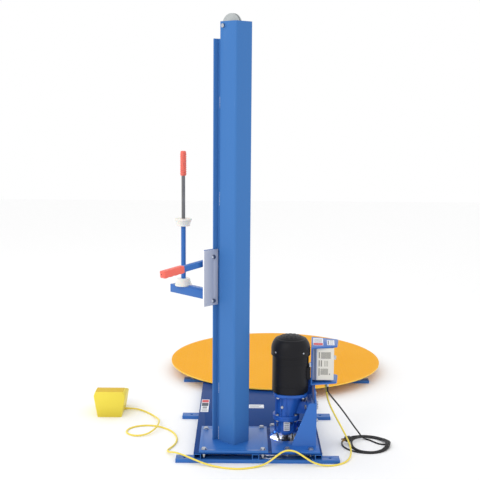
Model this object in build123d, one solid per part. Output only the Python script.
from build123d import *
import math
import os

# Turntable pallet wrapper.  Millimetres, +Z up.  The origin is on the floor, on the
# turntable's axis.  The drive deck and the mast stand towards -Y.

# ---------------------------------------------------------------- driving sizes
disc_diameter = 1219.2          # 48 inch turntable
disc_thickness = 6.35
disc_top = 60.0                 # height of the turning surface

bar_height = 16.0               # flat bars that stand on the floor
foot_bar_width = 58.0
cross_bar_width = 53.0
tube_width = 31.75              # frame tubes lying on the bars
tube_height = 25.4
tube_wall = 3.2
plate = 6.35                    # deck and bracket plate
deck_front = -1506.0
deck_back = -440.0
deck_left = -406.0
deck_right = 159.3
middle_bar_y = -898.5
cross_bar_pitch = 272.5         # from the disc's axis to the outer cross bars
cross_bar_half = disc_diameter / 2 - 89.6
foot_left, foot_right = -486.0, 238.0
mast_tube_x = -133.6            # centre lines of the two long tubes
drive_tube_x = 143.4

mast_size = 101.6               # 4 inch square tube set corner forward
mast_wall = 6.35
mast_corner = 10.0
mast_top = 1909.4
mast_x, mast_y = -231.0, -1367.5
mast_turn = 135.0               # local X faces the film arm, local Y the operator
mast_plate_thickness = 9.525

rail_half = 66.0                # rail flange, half its width
rail_stand = 14.5               # inner face of the flange from the mast's face
rail_thickness = 6.3
rail_top = mast_top - 71.4
rail_leg = 6.3
rail_leg_y = 38.0

pulley_radius = 54.0
pulley_width = 16.0
pulley_z = mast_top - 18.4
groove_depth = 4.0
cable_stand = 5.6               # lift cable's axis from the rail's outer face
axle_radius = 6.0
cable_radius = 2.0

carriage_low, carriage_high = 680.0, 930.0
carriage_half = rail_half + 46.0
carriage_thickness = 7.0
slide_gap = 0.4                 # running gap between the rail and what slides on it
keeper_width = 84.0
keeper_thickness = 8.0

arm_size = 38.1
arm_bottom = carriage_low + 1.0
arm_wall = 3.2
spindle_x = 340.0
arm_end = spindle_x + 72.0
spindle_tube_radius = 11.0
spindle_tube_top = arm_bottom + 319.0
rod_radius = 8.5
rod_top = spindle_tube_top + 338.0
grip_radius = 14.8
grip_length = 113.0
cone_big, cone_small, cone_height = 39.0, 28.0, 34.0

lever_stand = 16.0              # lever's middle plane from the carriage plate
lever_size = 25.0
lever_y, lever_z = 34.0, carriage_high - 55.5   # lever pivot
lever_droop = 5.4               # degrees below level at rest
lever_reach = 308.0

weight_x, weight_y = 68.0, 76.0
weight_low, weight_high = 957.0, 1217.0
weight_clear = 2.5

drive_x, drive_y = 8.0, -1298.0         # output shaft
motor_x = 24.5                          # motor axis, offset from the output shaft
deck_hole_radius = 74.0
output_radius = 12.0
chain_pitch = 12.7
drive_teeth, driven_teeth = 15, 50
sprocket_thickness = 7.3
sprocket_low = 24.2
motor_radius = 82.5
fan_cover_radius = 88.5
motor_bottom, motor_shoulder, motor_top = 268.0, 440.0, 530.0
flange_thickness = 13.0
joint_z = 150.0                         # joint between the two gearbox castings

side_plate_x = 130.65
side_front, side_back = -1430.0, -1170.0
side_low_top, side_high_top = 250.0, 300.0
box_web_x, box_web = 115.5, 6.35        # control channel
box_lean = 16.0                         # the channel's back end stands this far to the right
box_low = side_high_top
box_high = box_low + 176.0
box_end = 237.0
box_front, box_back = -1322.0, -1119.0
heatsink_depth = 20.0
cover_end = 222.0
drive_front, drive_back = -1300.0, -1170.0
drive_low, drive_high = box_low + 19.0, box_high - 8.0
knob_y, knob_z, knob_radius, knob_depth = -1262.0, box_low + 115.0, 9.5, 12.0

pivot_radius = 15.0
hub_radius = 44.0
roller_radius, roller_width = 16.0, 26.0
roller_reach = disc_diameter / 2 - 150.6                    # X of the rollers on the outer cross bars
roller_gap = 0.3
running = 0.05                          # radial clearance of every shaft in its bore
gap = 0.3                               # clearance between parts that pass each other

bolt_radius, bolt_clear = 6.0, 0.4      # M12
hex_radius, hex_height = 10.4, 8.0
anchor_radius = 7.0
anchor_x = (-446.0, 196.0)

switch_x, switch_back, switch_front = -857.0, -905.0, -700.0
switch_bottom_half, switch_mid_half, switch_top_half = 60.0, 79.0, 71.0
switch_base, switch_mid_z, switch_top_z, switch_wall = 18.0, 107.0, 130.0, 3.0

foot_cord_diameter = 8.0
power_cord_diameter = 7.0
foot_gland = (193.0, -1240.0)
power_gland = (196.0, -1281.0)
gland_radius, gland_length = 6.5, 16.0
coil_x, coil_y, coil_outer, coil_inner, coil_height = 384.0, -1268.0, 122.0, 62.0, 16.0

# ---------------------------------------------------------------- worked-out heights
tube_low = bar_height
tube_top = bar_height + tube_height
deck_top = tube_top + plate
disc_low = disc_top - disc_thickness
mast_plate_top = deck_top + mast_plate_thickness
bracket_plate_top = deck_top + plate
rail_offset = mast_size / 2 + rail_stand
cable_reach = pulley_radius - groove_depth + cable_radius + gap
lift_x = rail_offset + rail_thickness + cable_stand
pulley_x = lift_x - cable_reach
drop_x = pulley_x - cable_reach
sprocket_top = sprocket_low + sprocket_thickness
drive_pitch_radius = chain_pitch / (2 * math.sin(math.pi / drive_teeth))
driven_pitch_radius = chain_pitch / (2 * math.sin(math.pi / driven_teeth))

parts = {}


def block(x0, x1, y0, y1, z0, z1):
    """A box from its low and high corners."""
    return Pos((x0 + x1) / 2, (y0 + y1) / 2, (z0 + z1) / 2) * Box(x1 - x0, y1 - y0, z1 - z0)


def rod(x, y, z0, z1, radius):
    """An upright cylinder."""
    return Pos(x, y, (z0 + z1) / 2) * Cylinder(radius, z1 - z0)


def rod_x(x0, x1, y, z, radius):
    return Pos((x0 + x1) / 2, y, z) * Rot(0, 90, 0) * Cylinder(radius, x1 - x0)


def rod_y(x, y0, y1, z, radius):
    return Pos(x, (y0 + y1) / 2, z) * Rot(90, 0, 0) * Cylinder(radius, y1 - y0)


def hexagon(x, y, z0, z1, radius=hex_radius):
    return Pos(x, y, z0) * extrude(RegularPolygon(radius, 6), z1 - z0)


def hexagon_x(x0, x1, y, z, radius=hex_radius):
    return Pos(x0, y, z) * Rot(0, 90, 0) * extrude(RegularPolygon(radius, 6), x1 - x0)


def hexagon_y(x, y0, y1, z, radius=hex_radius):
    return Pos(x, y1, z) * Rot(90, 0, 0) * extrude(RegularPolygon(radius, 6), y1 - y0)


def slab(points, z0, z1):
    """A flat outline in XY raised from z0 to z1."""
    return Pos(0, 0, z0) * extrude(make_face(Polyline(*points, close=True)), z1 - z0)


def slab_xz(points, y0, y1):
    """A flat outline in XZ given a thickness along Y."""
    face = make_face(Polyline(*[(x, y0, z) for x, z in points], close=True))
    return extrude(face, y1 - y0, dir=(0, 1, 0))


def slab_yz(points, x0, x1):
    """A flat outline in YZ given a thickness along X."""
    face = make_face(Polyline(*[(x0, y, z) for y, z in points], close=True))
    return extrude(face, x1 - x0, dir=(1, 0, 0))


def group(solids):
    return Compound(children=[s.solid() if hasattr(s, "solid") else s for s in solids])


def on_mast(shape):
    """Moves a shape made in the mast's own axes to its place."""
    return Location((mast_x, mast_y, 0), (0, 0, mast_turn)) * shape


# ---------------------------------------------------------------- bolt patterns
mast_bolts = [(-361, -1225), (-102, -1200), (-361, -1489), (-102, -1489)]
bracket_bolts = [(7, -1470), (110, -1472), (-50, -1165), (110, -1155)]
foot_bolt_y = (drive_y - 60, drive_y + 60)
foot_bolt_z = (150.0, 210.0)


def deck_bolt(x, y, top):
    """Hex bolt down through the plates, with its nut under the deck."""
    head = hexagon(x, y, top, top + hex_height)
    shank = rod(x, y, tube_low + 6, top, bolt_radius)
    nut = hexagon(x, y, tube_top - 9.5, tube_top) - rod(x, y, tube_top - 10, tube_top, bolt_radius)
    return (head + shank) + nut


# ---------------------------------------------------------------- frame on the floor
def bar(x0, x1, y0, y1, holes=()):
    shape = block(x0, x1, y0, y1, 0, bar_height)
    for x in holes:
        shape -= rod(x, (y0 + y1) / 2, -1, bar_height + 1, anchor_radius)
    return shape


front_bar_back = deck_front + foot_bar_width
middle_half = cross_bar_width / 2
parts["front_foot_bar"] = bar(foot_left, foot_right, deck_front, front_bar_back, anchor_x)
parts["middle_foot_bar"] = bar(foot_left - 5, foot_right + 9, middle_bar_y - middle_half,
                               middle_bar_y + middle_half, anchor_x)
for name, y in (("near_cross_bar", -cross_bar_pitch), ("centre_cross_bar", 0.0),
                ("rear_cross_bar", cross_bar_pitch)):
    parts[name] = bar(-cross_bar_half, cross_bar_half, y - middle_half, y + middle_half)


def frame_tube(x, y_end):
    outer = block(x - tube_width / 2, x + tube_width / 2, deck_front, y_end, tube_low, tube_top)
    inner = block(x - tube_width / 2 + tube_wall, x + tube_width / 2 - tube_wall,
                  deck_front - 1, y_end + 1, tube_low + tube_wall, tube_top - tube_wall)
    return outer - inner


tube_end = cross_bar_pitch + middle_half
parts["left_frame_tube"] = frame_tube(deck_left + tube_width / 2, -cross_bar_pitch + middle_half)
parts["mast_frame_tube"] = frame_tube(mast_tube_x, tube_end)
parts["drive_frame_tube"] = frame_tube(drive_tube_x, tube_end)


def drilled(shape, points, z0, z1):
    for x, y in points:
        shape -= rod(x, y, z0 - 1, z1 + 1, bolt_radius + bolt_clear)
    return shape


deck = block(deck_left, deck_right, deck_front, deck_back, tube_top, deck_top)
deck -= rod(drive_x, drive_y, tube_top - 1, deck_top + 1, deck_hole_radius)
parts["deck_plate"] = drilled(deck, mast_bolts + bracket_bolts, tube_top, deck_top)
mast_plate = block(-383, -78, deck_front, -1186, deck_top, mast_plate_top)
parts["mast_base_plate"] = drilled(mast_plate, mast_bolts, deck_top, mast_plate_top)
parts["deck_bolts"] = group([deck_bolt(x, y, mast_plate_top) for x, y in mast_bolts]
                            + [deck_bolt(x, y, bracket_plate_top) for x, y in bracket_bolts])


# ---------------------------------------------------------------- mast and rail
def mast_tube():
    half = mast_size / 2
    inner = half - mast_wall
    outer_face = RectangleRounded(mast_size, mast_size, mast_corner)
    inner_face = RectangleRounded(2 * inner, 2 * inner, mast_corner - mast_wall)
    tube = Pos(0, 0, mast_plate_top) * extrude(outer_face - inner_face, mast_top - mast_plate_top)
    drop = math.sqrt(pulley_radius ** 2 - (inner - pulley_x) ** 2)
    slot_half = pulley_width / 2 + 3
    tube -= block(inner - 1, half + 1, -slot_half, slot_half, pulley_z - drop - 6, mast_top + 1)
    tube -= rod_y(pulley_x, -half - 1, half + 1, pulley_z, axle_radius)
    return tube


def carriage_rail():
    """A flange plate on two legs, stitch-welded to the mast's face."""
    face = mast_size / 2
    flange = block(rail_offset, rail_offset + rail_thickness, -rail_half, rail_half,
                   mast_plate_top, rail_top)
    legs = [block(face, rail_offset, side * rail_leg_y - rail_leg / 2, side * rail_leg_y + rail_leg / 2,
                  mast_plate_top, rail_top) for side in (-1, 1)]
    return flange + legs[0] + legs[1]


def pulley():
    outline = [(axle_radius + running, -pulley_width / 2), (pulley_radius, -pulley_width / 2),
               (pulley_radius, -4.5), (pulley_radius - groove_depth, -2.4),
               (pulley_radius - groove_depth, 2.4),
               (pulley_radius, 4.5), (pulley_radius, pulley_width / 2),
               (axle_radius + running, pulley_width / 2)]
    wheel = revolve(make_face(Polyline(*[(r, 0, z) for r, z in outline], close=True)), Axis.Z)
    return Pos(pulley_x, 0, pulley_z) * Rot(90, 0, 0) * wheel


def pulley_axle():
    half = mast_size / 2
    inner = half - mast_wall
    axle = rod_y(pulley_x, -half - 10, half, pulley_z, axle_radius)
    axle += hexagon_y(pulley_x, half, half + 7, pulley_z, 9.5)
    axle += hexagon_y(pulley_x, -half - 9, -half, pulley_z, 9.5)
    for side in (-1, 1):
        near = side * (pulley_width / 2 + gap)
        low, high = sorted((near, side * inner))
        axle += rod_y(pulley_x, low, high, pulley_z, axle_radius + 4)
    return axle


eye_top = carriage_high + 22
parts["mast_tube"] = on_mast(mast_tube())
parts["carriage_rail"] = on_mast(carriage_rail())
parts["lift_pulley"] = on_mast(pulley())
parts["pulley_axle"] = on_mast(pulley_axle())
parts["lift_cable"] = on_mast(rod(lift_x, 0, eye_top, pulley_z, cable_radius))
parts["counterweight_cable"] = on_mast(rod(drop_x, 0, weight_high + 12, pulley_z, cable_radius))
weight_left = -(mast_size / 2 - mast_wall) + weight_clear
weight = block(weight_left, weight_left + weight_x, -weight_y / 2, weight_y / 2,
               weight_low, weight_high)
parts["counterweight"] = on_mast(weight + rod(drop_x, 0, weight_high, weight_high + 12, 7))

# ---------------------------------------------------------------- carriage
plate_in = rail_offset + rail_thickness + slide_gap
plate_out = plate_in + carriage_thickness
lever_x = plate_out + lever_stand
keeper_out = rail_offset - slide_gap
keeper_in = keeper_out - keeper_thickness
keeper_start = rail_half - 19.0
keeper_bolt_y = rail_half + 8.5
keeper_bolt_z = (carriage_low + 22, carriage_high - 32)
spacer_radius = 7.5


def carriage_plate():
    body = block(plate_in, plate_out, -carriage_half, carriage_half, carriage_low, carriage_high)
    for side in (-1, 1):
        for z in keeper_bolt_z:
            body -= rod_x(plate_in - 1, plate_out + 1, side * keeper_bolt_y, z, 5.2)
    eye = block(plate_in, plate_out, -9, 9, carriage_high, carriage_high + 12)
    stub = rod(lift_x, 0, carriage_high + 6, eye_top, cable_radius + 1.5)
    pin = rod_x(plate_out, lever_x + lever_size / 2 + 6, lever_y, lever_z, 6)
    return body + eye + stub + pin


def keeper_plates():
    plates = []
    for side in (-1, 1):
        low, high = sorted((side * keeper_start, side * (keeper_start + keeper_width)))
        keeper = block(keeper_in, keeper_out, low, high, carriage_low + 2, carriage_high)
        for z in keeper_bolt_z:
            keeper -= rod_x(keeper_in - 1, keeper_out + 1, side * keeper_bolt_y, z, 5.2)
        plates.append(on_mast(keeper))
    return group(plates)


def keeper_bolts():
    """Bolt, spacer and nut that join each keeper to the carriage plate."""
    bolts = []
    for side in (-1, 1):
        for z in keeper_bolt_z:
            y = side * keeper_bolt_y
            bolt = rod_x(keeper_in, plate_out + 12, y, z, 5)
            bolt += hexagon_x(keeper_in - 6.5, keeper_in, y, z, 9)
            bolt += rod_x(keeper_out, plate_in, y, z, spacer_radius)
            bolt += hexagon_x(plate_out, plate_out + 8, y, z, 9)
            bolts.append(on_mast(bolt))
    return group(bolts)


def lower_arm():
    half = arm_size / 2
    top = arm_bottom + arm_size
    arm = block(plate_out, arm_end, -half, half, arm_bottom, top)
    arm -= block(plate_out - 1, arm_end - arm_wall, -half + arm_wall, half - arm_wall,
                 arm_bottom + arm_wall, top - arm_wall)
    arm += block(plate_out, spindle_x - 48, -half + 6, half - 6, top, top + 8)
    post = rod(spindle_x, 0, top - arm_wall, spindle_tube_top, spindle_tube_radius)
    arm += post
    arm -= rod(spindle_x, 0, top + 4, spindle_tube_top + 1, rod_radius + running)
    return arm


cone_low = arm_bottom + arm_size + gap
upper_cone_low = spindle_tube_top + gap


def cone(z, bore, upside_down):
    """Stepped plastic cone that centres the film core."""
    outline = [(bore, 0), (cone_big, 0), (cone_big, 9), (cone_big - 6, 13),
               (cone_small + 3, cone_height), (bore, cone_height)]
    shape = revolve(make_face(Polyline(*[(r, 0, h) for r, h in outline], close=True)), Axis.Z)
    if upside_down:
        return Pos(spindle_x, 0, z + cone_height) * Rot(180, 0, 0) * shape
    return Pos(spindle_x, 0, z) * shape


def spindle_rod():
    return rod(spindle_x, 0, arm_bottom + arm_size + 4.5, rod_top, rod_radius)


def top_grip():
    low = rod_top + 8 - grip_length
    shape = rod(spindle_x, 0, low, low + grip_length, grip_radius)
    shape -= rod(spindle_x, 0, low - 1, rod_top, rod_radius)
    return shape


lever_pin_radius = 6.0
lever_turn = Location((lever_x, lever_y, lever_z), (-lever_droop, 0, 0))


def brake_lever():
    half = lever_size / 2
    bar_end = lever_reach - 12
    hub = rod_x(-half, half, 0, 0, 19)
    shape = hub + block(-half, half, 0, bar_end, -half, half)
    shape -= rod_x(-half - 1, half + 1, 0, 0, lever_pin_radius + running)
    return lever_turn * shape


def lever_grip():
    half = lever_size / 2
    start = lever_reach - 116
    grip = block(-half - 4, half + 4, start, lever_reach, -half - 4, half + 4)
    grip = fillet(grip.edges().filter_by(Axis.Y), 6)
    grip -= block(-half, half, start - 1, lever_reach - 12, -half, half)
    return lever_turn * grip


parts["carriage_plate"] = on_mast(carriage_plate())
parts["keeper_plates"] = keeper_plates()
parts["keeper_bolts"] = keeper_bolts()
parts["lower_arm"] = on_mast(lower_arm())
parts["lower_cone"] = on_mast(cone(cone_low, spindle_tube_radius + running, False))
parts["upper_cone"] = on_mast(cone(upper_cone_low, rod_radius + running, True))
parts["spindle_rod"] = on_mast(spindle_rod())
parts["top_grip"] = on_mast(top_grip())
parts["brake_lever"] = on_mast(brake_lever())
parts["lever_grip"] = on_mast(lever_grip())


# ---------------------------------------------------------------- motor bracket
def motor_bracket():
    """Base, side plate, gussets and pad, welded into one bracket."""
    base = block(-62, 150, deck_front, -1140, deck_top, bracket_plate_top)
    base -= rod(drive_x, drive_y, deck_top - 1, bracket_plate_top + 1, deck_hole_radius)
    base = drilled(base, bracket_bolts, deck_top, bracket_plate_top)
    foot = bracket_plate_top
    side = slab_yz([(side_front, foot), (side_front, side_low_top), (side_front + 130, side_high_top),
                    (side_back, side_high_top), (side_back, foot)],
                   side_plate_x, side_plate_x + plate)
    front = slab_xz([(27, foot), (side_plate_x, foot), (side_plate_x, side_low_top),
                     (103, side_low_top)], side_front, side_front + plate)
    toe_y = drive_y + deck_hole_radius - 12
    toe = block(59, side_plate_x, toe_y, toe_y + plate, foot, 104)
    post = block(108, side_plate_x, side_back - 6 - plate, side_back - 6, foot, side_high_top - 6)
    pad = block(side_plate_x - 12.65, side_plate_x, drive_y - 75, drive_y + 75, 130, 230)
    shape = base + side + front + toe + post + pad
    for y in foot_bolt_y:
        for z in foot_bolt_z:
            shape -= rod_x(90, side_plate_x + plate + 1, y, z, bolt_radius + bolt_clear)
    return shape


parts["motor_bracket"] = motor_bracket()

# ---------------------------------------------------------------- gearbox
pad_face = side_plate_x - 12.65
gearbox_foot = 22.0
joint_bolt_angles = (39, 141, 219, 321)
joint_bolt_reach = 53.0
flange_bolt = 56.5
casing_bottom = 80.0
rib_high = motor_bottom - 42.0


def around(centre, reach, angles):
    return [(centre[0] + reach * math.cos(math.radians(a)), centre[1] + reach * math.sin(math.radians(a)))
            for a in angles]


joint_bolts = around((drive_x, drive_y), joint_bolt_reach, joint_bolt_angles)
cover_bolts = around((drive_x, drive_y), 46.0, (30, 150, 210, 330))
flange_bolts = [(motor_x + sx * flange_bolt, drive_y + sy * flange_bolt)
                for sx in (-1, 1) for sy in (-1, 1)]


def lower_housing():
    shape = rod(drive_x, drive_y, 92, joint_z, 50)
    shape += rod(drive_x, drive_y, casing_bottom + 2, 92, 54)
    shape += rod(drive_x, drive_y, 66, casing_bottom + 2, 28)
    shape += rod(drive_x, drive_y, joint_z - 11, joint_z, 61)
    for x, y in joint_bolts:
        shape -= rod(x, y, joint_z - 12, joint_z + 1, 4.2)
        shape -= rod(x, y, joint_z - 22, joint_z - 11, 8.5)
    shape -= rod(drive_x, drive_y, 65, 112, output_radius + running)
    return shape


def upper_housing():
    low, high = joint_z, motor_bottom - flange_thickness
    shape = rod(drive_x, drive_y, low, low + 11, 61)
    lower_ring = Pos(drive_x, drive_y, low + 11) * Circle(52)
    upper_ring = Pos(motor_x, drive_y, high - 8) * Circle(60)
    shape += loft([lower_ring, upper_ring])
    shape += rod(motor_x, drive_y, high - 8, high, 66)
    for side in (-1, 1):
        y = drive_y + side * 26
        shape += block(40, pad_face - gearbox_foot + 1, y - 7, y + 7, low + 20, rib_high)
    foot = block(pad_face - gearbox_foot, pad_face, drive_y - 74, drive_y + 74, 132, 228)
    for y in foot_bolt_y:
        for z in foot_bolt_z:
            foot -= rod_x(pad_face - gearbox_foot - 1, pad_face + 1, y, z, bolt_radius + bolt_clear)
    shape += foot
    for x, y in joint_bolts:
        shape -= rod(x, y, low - 1, low + 12, 4.2)
        shape -= rod(x, y, low + 11, low + 22, 8.5)
    return shape


def adapter_flange():
    low, high = motor_bottom - flange_thickness, motor_bottom
    ring = Pos(motor_x, drive_y, low) * extrude(RectangleRounded(152, 152, 40), flange_thickness)
    for x, y in flange_bolts:
        ring -= rod(x, y, low - 1, high + 1, 5.2)
    return ring - rod(motor_x, drive_y, low - 1, high + 1, 30)


def gearbox_bolts():
    bolts = []
    for x, y in flange_bolts:
        low = motor_bottom - flange_thickness
        bolts.append(hexagon(x, y, low - 7, low, 8.5) + rod(x, y, low, motor_bottom, 5))
    for x, y in joint_bolts:
        bolts.append(hexagon(x, y, joint_z + 11, joint_z + 17, 7.5)
                     + rod(x, y, joint_z - 11, joint_z + 11, 4)
                     + hexagon(x, y, joint_z - 17, joint_z - 11, 7.5))
    for x, y in cover_bolts:
        bolts.append(hexagon(x, y, casing_bottom - 4, casing_bottom + 2, 6.5))
    head = pad_face - gearbox_foot
    for y in foot_bolt_y:
        for z in foot_bolt_z:
            bolts.append(hexagon_x(head - hex_height, head, y, z)
                         + rod_x(head, side_plate_x + plate + 12, y, z, bolt_radius)
                         + hexagon_x(side_plate_x + plate, side_plate_x + plate + 9, y, z))
    return group(bolts)


parts["gearbox_lower_housing"] = lower_housing()
parts["gearbox_upper_housing"] = upper_housing()
parts["motor_adapter_flange"] = adapter_flange()
parts["gearbox_bolts"] = gearbox_bolts()

# ---------------------------------------------------------------- motor
rotor_radius = 12.0
lip = 16.0


def motor_body():
    shape = rod(motor_x, drive_y, motor_bottom, motor_shoulder, motor_radius)
    shape += rod(motor_x, drive_y, motor_shoulder - 4, motor_shoulder + lip, fan_cover_radius - 3)
    return shape - rod(motor_x, drive_y, motor_bottom - 1, motor_shoulder + lip + 1, rotor_radius + running)


def dome(radius, low, high):
    """Domed cap: straight skirt, round shoulder and shallow crown."""
    shoulder = high - 58
    outline = [(0, low), (radius, low), (radius, shoulder)]
    crown = ThreePointArc((radius, 0, shoulder), (radius * 0.86, 0, high - 16), (radius * 0.45, 0, high - 4))
    cap = Line((radius * 0.45, 0, high - 4), (0, 0, high))
    side = Polyline(*[(r, 0, z) for r, z in outline])
    back = Line((0, 0, high), (0, 0, low))
    return Pos(motor_x, drive_y, 0) * revolve(make_face(Wire([*side.edges(), crown, cap, back])), Axis.Z)


def fan_cover():
    shell = dome(fan_cover_radius, motor_shoulder, motor_top)
    inside = dome(fan_cover_radius - 3, motor_shoulder - 1, motor_top - 3)
    return shell - inside


def motor_rotor():
    shaft = rod(motor_x, drive_y, motor_bottom - flange_thickness + 4, motor_top - 30, rotor_radius)
    fan_low = motor_shoulder + lip + 8
    fan = rod(motor_x, drive_y, fan_low, fan_low + 3, 62) + rod(motor_x, drive_y, fan_low, fan_low + 24, 20)
    blade_count = 8
    for turn in range(blade_count):
        blade = block(12, 60, -1.5, 1.5, fan_low + 1, fan_low + 22)
        fan += Pos(motor_x, drive_y, 0) * Rot(0, 0, 360 / blade_count * turn) * blade
    return shaft + fan


conduit_end, conduit_low, conduit_high = 113.0, motor_bottom + 64.0, motor_bottom + 120.0
conduit_front, conduit_back = drive_y - 42, drive_y + 38
fitting_x, fitting_y, fitting_z = 111.0, drive_y - 27, conduit_high + 16.0
fitting_radius = 6.5


def conduit_box():
    box = block(80, conduit_end, conduit_front, conduit_back, conduit_low, conduit_high)
    return box - rod(motor_x, drive_y, conduit_low - 1, conduit_high + 1, motor_radius)


def cable_glands():
    """The motor lead's elbow fitting and the two cord glands under the channel."""
    elbow = rod(fitting_x, fitting_y, conduit_high, fitting_z, fitting_radius - 1)
    elbow += hexagon(fitting_x, fitting_y, conduit_high, conduit_high + 5, fitting_radius)
    elbow += rod_x(fitting_x - 3, box_web_x, fitting_y, fitting_z, fitting_radius - 1)
    glands = [elbow]
    for x, y in (foot_gland, power_gland):
        top = hexagon(x, y, box_low - 5, box_low, gland_radius)
        glands.append(top + rod(x, y, box_low - gland_length, box_low, gland_radius - 1.2))
    return group(glands)


parts["motor_body"] = motor_body()
parts["motor_fan_cover"] = fan_cover()
parts["motor_rotor"] = motor_rotor()
parts["conduit_box"] = conduit_box()
parts["cable_glands"] = cable_glands()


# ---------------------------------------------------------------- controls
def control_channel():
    leaning = [(box_web_x, box_front), (box_web_x + box_web, box_front),
               (box_web_x + box_web + box_lean, box_back), (box_web_x + box_lean, box_back)]
    web = slab(leaning, box_low, box_high)
    outline = [(box_web_x, box_front), (box_end, box_front + 31), (box_end + box_lean, box_back - 47),
               (box_web_x + box_lean, box_back)]
    flanges = []
    for z in (box_low, box_high - box_web):
        flange = slab(outline, z, z + box_web)
        corners = flange.edges().filter_by(Axis.Z).sort_by(Axis.X)[-2:]
        flanges.append(fillet(corners, 18))
    return web + flanges[0] + flanges[1]


def web_face(y):
    """X of the leaning web's inner face."""
    return box_web_x + box_web + box_lean * (y - box_front) / (box_back - box_front)


cover_in = web_face(drive_front) + heatsink_depth


def heatsink():
    body = slab([(web_face(drive_front), drive_front), (cover_in, drive_front), (cover_in, drive_back),
                 (web_face(drive_back), drive_back)], drive_low, drive_high)
    for start in (cover_in - 12, cover_in - 7):
        body -= block(start, start + 2, drive_front - 1, drive_front + 8, drive_low - 1, drive_high + 1)
    return body


def drive_cover():
    body = block(cover_in, cover_end, drive_front, drive_back, drive_low, drive_high)
    body = fillet(body.edges().group_by(Axis.X)[-1], 5)
    return body + rod_x(cover_end, cover_end + knob_depth - 3, knob_y, knob_z, 3)


def speed_knob():
    low = cover_end + gap
    knob = rod_x(low, low + knob_depth, knob_y, knob_z, knob_radius)
    knob = fillet(knob.edges().group_by(Axis.X)[-1], 1.5)
    knob -= rod_x(low - 1, cover_end + knob_depth - 2.5, knob_y, knob_z, 3 + running)
    pointer = block(low + knob_depth - 2, low + knob_depth + 0.6, knob_y - 0.9, knob_y + 0.9,
                    knob_z + 2, knob_z + knob_radius - 1.5)
    return knob + pointer


parts["control_channel"] = control_channel()
parts["drive_heatsink"] = heatsink()
parts["drive_cover"] = drive_cover()
parts["speed_knob"] = speed_knob()


# ---------------------------------------------------------------- sprockets and chain
def sprocket(teeth, pitch_radius, bore):
    outer = chain_pitch * (0.6 + 1 / math.tan(math.pi / teeth)) / 2
    wheel = Circle(outer)
    for tooth in range(teeth):
        angle = 2 * math.pi * (tooth + 0.5) / teeth
        for reach, radius in ((pitch_radius, 4.1), (pitch_radius + 4.6, 5.4)):
            wheel -= Pos(reach * math.cos(angle), reach * math.sin(angle)) * Circle(radius)
    return extrude(wheel - Circle(bore), sprocket_thickness)


def chain_outline(offset):
    """Face bounded by a belt line round both sprockets, offset from the pitch line."""
    span = math.hypot(drive_x, drive_y)
    heading = math.atan2(drive_y, drive_x)
    big, small = driven_pitch_radius + offset, drive_pitch_radius + offset
    lean = math.acos((big - small) / span)
    points = []
    for centre, radius, side in (((0, 0), big, 1), ((drive_x, drive_y), small, 1),
                                 ((drive_x, drive_y), small, -1), ((0, 0), big, -1)):
        angle = heading + side * lean
        points.append((centre[0] + radius * math.cos(angle), centre[1] + radius * math.sin(angle)))
    body = make_face(Polyline(*points, close=True))
    return body + Circle(big) + Pos(drive_x, drive_y) * Circle(small)


def drive_chain():
    """Two plates of links, one above and one below the teeth."""
    ring = chain_outline(5.5) - chain_outline(-5.5)
    lower = Pos(0, 0, sprocket_low - gap - 1.7) * extrude(ring, 1.7)
    upper = Pos(0, 0, sprocket_top + gap) * extrude(ring, 1.7)
    return group([lower, upper])


parts["driven_sprocket"] = Pos(0, 0, sprocket_low) * sprocket(driven_teeth, driven_pitch_radius,
                                                              pivot_radius + 1)
drive_wheel = Pos(drive_x, drive_y, sprocket_low) * sprocket(drive_teeth, drive_pitch_radius, output_radius)
drive_boss = rod(drive_x, drive_y, sprocket_top, sprocket_top + 13, 20)
parts["drive_sprocket"] = drive_wheel + (drive_boss - rod(drive_x, drive_y, sprocket_top - 1,
                                                          sprocket_top + 14, output_radius))
parts["output_shaft"] = rod(drive_x, drive_y, sprocket_low - 3, 110, output_radius)
parts["drive_chain"] = drive_chain()


# ---------------------------------------------------------------- turntable
def pivot_post():
    boss = rod(0, 0, bar_height, sprocket_low - 0.5, 38)
    return boss + rod(0, 0, bar_height, disc_low - 1, pivot_radius)


def turntable_disc():
    top = rod(0, 0, disc_low, disc_top, disc_diameter / 2)
    hub = rod(0, 0, sprocket_top, disc_low, hub_radius)
    hub -= rod(0, 0, sprocket_top - 1, disc_low, pivot_radius + running)
    return top + hub


roller_axle_z = disc_low - roller_gap - roller_radius
roller_places = [(sx * roller_reach, sy * cross_bar_pitch) for sy in (-1, 1) for sx in (-1, 1)]
roller_axle_radius = 5.0


def facing_axis(x, y):
    """Turns local X outward from the turntable's axis."""
    return Location((x, y, 0), (0, 0, math.degrees(math.atan2(y, x))))


def roller_bracket():
    half = roller_width / 2
    base = block(-half - 9, half + 9, -19, 19, bar_height, bar_height + 3)
    shape = base
    for side in (-1, 1):
        low, high = sorted((side * (half + 1.5), side * (half + 5.5)))
        shape += block(low, high, -11, 11, bar_height, roller_axle_z + 9)
    return shape + rod_x(-half - 9, half + 9, 0, roller_axle_z, roller_axle_radius)


def roller():
    half = roller_width / 2
    wheel = rod_x(-half, half, 0, roller_axle_z, roller_radius)
    wheel = fillet(wheel.edges(), 2)
    return wheel - rod_x(-half - 1, half + 1, 0, roller_axle_z, roller_axle_radius + running)


parts["pivot_post"] = pivot_post()
parts["turntable_disc"] = turntable_disc()
parts["roller_brackets"] = group([facing_axis(x, y) * roller_bracket() for x, y in roller_places])
for number, (x, y) in enumerate(roller_places, 1):
    parts[f"roller_{number}"] = facing_axis(x, y) * roller()


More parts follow.
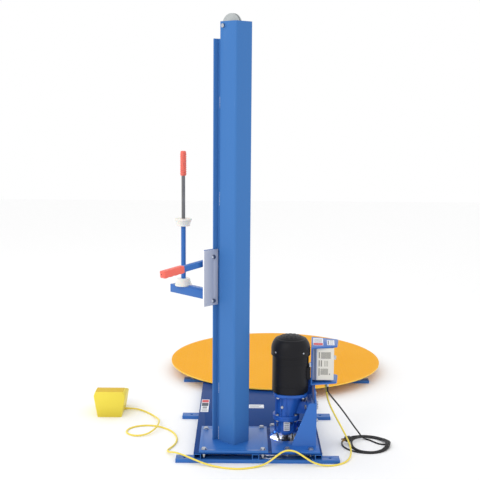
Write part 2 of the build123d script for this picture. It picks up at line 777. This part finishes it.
# ---------------------------------------------------------------- foot switch
def switch_outline(inset):
    """Section of the guard in XZ: narrow at the floor, widest near the top."""
    low = switch_bottom_half - inset
    mid = switch_mid_half - inset
    top = switch_top_half - inset
    return [(switch_x - low, 0), (switch_x + low, 0), (switch_x + mid, switch_mid_z),
            (switch_x + top, switch_top_z - inset), (switch_x - top, switch_top_z - inset),
            (switch_x - mid, switch_mid_z)]


def switch_side(inset):
    """Side view of the guard in YZ: upright back, flat top, sloping mouth."""
    back = switch_back + inset
    top = switch_top_z - inset
    return [(back, 0), (back, top), (switch_back + 78, top), (switch_front, top - 44),
            (switch_front + 1, 0)]


def switch_hood():
    shell = slab_xz(switch_outline(0), switch_back, switch_front)
    shell &= slab_yz(switch_side(0), switch_x - 100, switch_x + 100)
    hollow = slab_xz(switch_outline(switch_wall), switch_back + switch_wall, switch_front + 2)
    hollow &= slab_yz(switch_side(switch_wall), switch_x - 100, switch_x + 100)
    shell -= hollow
    return shell - block(switch_x - 100, switch_x + 100, switch_back - 1, switch_front + 2, -1, switch_base)


pedal_y, pedal_z = switch_back + 32, switch_base + 22.0


def switch_body():
    base = slab_xz([(switch_x - switch_bottom_half, 0), (switch_x + switch_bottom_half, 0),
                    (switch_x + switch_bottom_half, switch_base),
                    (switch_x - switch_bottom_half, switch_base)], switch_back, switch_front)
    for side in (-1, 1):
        low, high = sorted((side * 40, side * 46))
        base += block(switch_x + low, switch_x + high, pedal_y - 9, pedal_y + 9, switch_base, pedal_z + 8)
    base += rod_x(switch_x - 46, switch_x + 46, pedal_y, pedal_z, 3)
    return base


def treadle():
    pad = block(switch_x - 37, switch_x + 37, pedal_y - 8, switch_front - 22, pedal_z - 5, pedal_z + 5)
    pad = fillet(pad.edges().filter_by(Axis.Z), 6)
    return pad - rod_x(switch_x - 40, switch_x + 40, pedal_y, pedal_z, 3 + running)


parts["foot_switch_base"] = switch_body()
parts["foot_switch_hood"] = switch_hood()
parts["foot_treadle"] = treadle()

# ---------------------------------------------------------------- cords
foot_cord_r = foot_cord_diameter / 2
gland_low = box_low - gland_length
foot_route = [
    (*foot_gland, gland_low), (*foot_gland, 254), (203, -1272, 206),
    (232, -1292, 150), (264, -1301, 94), (289, -1323, 48), (298, -1372, 30), (296, -1428, 10),
    (264, -1502, 4), (192, -1542, 4), (124, -1536, 12), (74, -1519, 41), (36, -1507, 61),
    (-8, -1507, 61), (-42, -1519, 40), (-86, -1535, 10), (-140, -1562, 4), (-210, -1584, 4),
    (-288, -1566, 4), (-352, -1540, 9), (-404, -1524, 24), (-450, -1488, 29), (-494, -1446, 27),
    (-524, -1404, 10), (-533, -1360, 4), (-508, -1310, 4), (-494, -1240, 4), (-507, -1155, 4),
    (-552, -1078, 4), (-622, -1030, 4), (-694, -1036, 4), (-742, -1078, 4), (-748, -1140, 4),
    (-702, -1183, 4), (-642, -1172, 8), (-606, -1116, 19), (-597, -1052, 22), (-600, -990, 17),
    (-618, -926, 7), (-662, -850, 4), (-712, -800, 6), (-756, -786, 8),
    (switch_x + switch_bottom_half, -786, 8)]
power_route = [(*power_gland, gland_low), (*power_gland, 260), (220, -1272, 228),
               (258, -1250, 178), (296, -1227, 122), (332, -1204, 66), (357, -1193, 32),
               (368, -1192, 8)]


def cord_tube(name, route, diameter):
    """Straight runs joined by tangent arcs, as large as the runs allow."""
    points = [Vector(*p) for p in route]
    radii = []
    for before, here, after in zip(points, points[1:], points[2:]):
        turn = math.radians((here - before).get_angle(after - here))
        shorter = min((here - before).length, (after - here).length)
        radii.append(0.45 * shorter / math.tan(turn / 2))
    path = FilletPolyline(*points, radius=radii)
    section = Plane(path @ 0, z_dir=path % 0) * Circle(diameter / 2)
    tube = sweep(section, path)
    expected = math.pi * diameter ** 2 / 4 * path.length
    print(name, "length", round(path.length), "volume ratio", round(tube.volume / expected, 4))
    print("  radii", [round(r) for r in radii])
    return tube


coil = rod(coil_x, coil_y, 0, coil_height, coil_outer) - rod(coil_x, coil_y, -1, coil_height + 1, coil_inner)
plug_x, plug_y, plug_turn = coil_x - coil_outer + 44, coil_y + 10, 25.0


def power_plug():
    """Three-blade plug lying on the coil."""
    body = block(-24, 14, -12, 12, 0.0, 22)
    body = fillet(body.edges().filter_by(Axis.X), 5)
    for y in (-6, 6):
        body += block(-42, -24, y - 0.8, y + 0.8, 9, 15)
    body += rod_x(-44, -24, 0, 5.5, 2.4)
    return Location((plug_x, plug_y, coil_height), (0, 0, plug_turn)) * body


parts["foot_cord"] = cord_tube("foot_cord", foot_route, foot_cord_diameter)
parts["power_cord"] = cord_tube("power_cord", power_route, power_cord_diameter)
parts["power_cord_coil"] = coil
parts["power_plug"] = power_plug()

# ---------------------------------------------------------------- write the files
os.makedirs("parts", exist_ok=True)
for name, shape in parts.items():
    if not isinstance(shape, Compound) or len(shape.solids()) == 1:
        shape = shape.solids()[0]
    export_step(shape, f"parts/{name}.step")
print(len(parts), "nodes")
